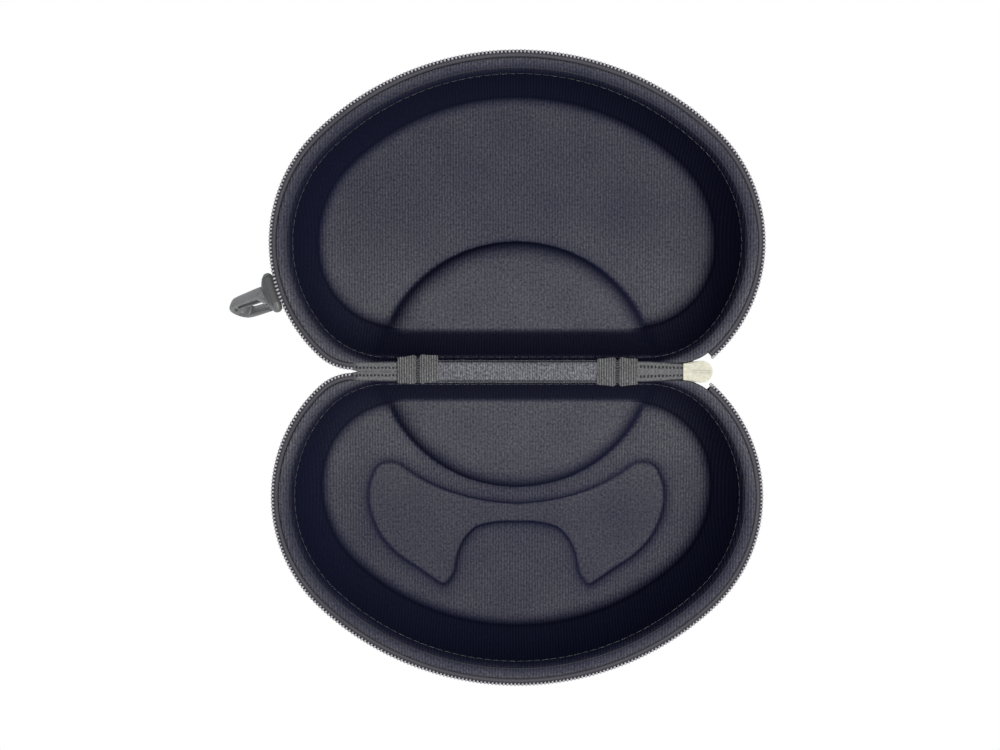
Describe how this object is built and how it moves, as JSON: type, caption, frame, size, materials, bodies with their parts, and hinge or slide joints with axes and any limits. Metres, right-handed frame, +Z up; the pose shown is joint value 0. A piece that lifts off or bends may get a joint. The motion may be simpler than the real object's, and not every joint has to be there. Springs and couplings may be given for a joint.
{
  "type": "zip-up moulded goggle case",
  "caption": "Moulded hard case for goggles: two D-shaped padded half shells with half-round floor steps on a fabric hinge, zip round the rims, swivel snap hook on a webbing loop",
  "frame": {"origin": "centre of the flat part of the back shell's underside, on the surface the case rests on", "axes": "+X along the hinge line towards the zip slider's parked end; +Y from the hinge line towards the back shell's far edge; +Z up, out of the open shells"},
  "size_m": [0.2241, 0.2598, 0.0474],
  "materials": {
    "cover_cloth": "matte",
    "foam": "matte",
    "lining_knit": "matte",
    "zip_cloth": "matte",
    "zip_coil": "satin",
    "thread": "matte",
    "tab_ribbon": "matte",
    "slider_metal": "satin",
    "webbing": "matte",
    "hook_plastic": "satin",
    "steel": "satin"
  },
  "bodies": {
    "case_back": {"back_cover": "cover_cloth", "back_foam": "foam", "back_lining": "lining_knit", "back_zip_tape": "zip_cloth", "back_zip_coil": "zip_coil", "back_stitch_line": "thread", "hinge_strip": "lining_knit", "hinge_web": "foam", "left_end_tab": "tab_ribbon", "right_end_tab": "tab_ribbon", "left_tab_stitch": "thread", "right_tab_stitch": "thread", "hook_webbing": "webbing"},
    "case_front": {"front_cover": "cover_cloth", "front_foam": "foam", "front_lining": "lining_knit", "front_zip_tape": "zip_cloth", "front_zip_coil": "zip_coil", "front_stitch_line": "thread"},
    "zip_end": {"zip_chain_closed": "zip_coil"},
    "slider": {"slider_body": "slider_metal", "slider_bail": "slider_metal"},
    "pull": {"pull_tab": "slider_metal"},
    "hook_ring": {"hook_base": "hook_plastic"},
    "hook": {"hook_body": "hook_plastic", "hook_gate_pin": "steel", "hook_gate_spring": "steel"},
    "gate": {"hook_gate": "hook_plastic"}
  },
  "joints": [
    {"name": "case_hinge", "type": "hinge", "parent": "case_back", "child": "case_front", "pos_m": [0, -0.084, 0.046], "axis": [-1, 0, 0], "range_deg": [0, 180], "deforming": ["hinge_strip", "hinge_web", "left_end_tab", "right_end_tab", "left_tab_stitch", "right_tab_stitch"]},
    {"name": "zip_follow", "type": "hinge", "parent": "case_back", "child": "zip_end", "pos_m": [0.06, -0.084, 0.046], "axis": [-1, 0, 0], "range_deg": [0, 90], "deforming": ["zip_chain_closed"]},
    {"name": "slider_travel", "type": "slide", "parent": "zip_end", "child": "slider", "axis": [-1, 0, 0], "range_m": [0, 0.0035]},
    {"name": "pull_swing", "type": "hinge", "parent": "slider", "child": "pull", "pos_m": [0.0735, -0.084, 0.0415], "axis": [0, -1, 0], "range_deg": [0, 60]},
    {"name": "hook_swing", "type": "hinge", "parent": "case_back", "child": "hook_ring", "pos_m": [-0.0998, -0.0518, 0.037], "axis": [-0.3037, 0.9528, 0], "range_deg": [-28, 95]},
    {"name": "hook_swivel", "type": "hinge", "parent": "hook_ring", "child": "hook", "pos_m": [-0.10362, -0.05302, 0.03127], "axis": [-0.5465, -0.1742, -0.8192], "continuous": true},
    {"name": "gate_press", "type": "hinge", "parent": "hook", "child": "gate", "pos_m": [-0.10062, -0.05578, 0.02753], "axis": [0.3102, 0.8665, -0.3912], "range_deg": [0, 20], "stiffness_Nm_per_rad": 0.02, "springref_deg": -11.46, "deforming": ["hook_gate_spring"]}
  ],
  "couplings": [
    {"joint": "zip_follow", "follows": "case_hinge", "ratio": 0.5}
  ]
}
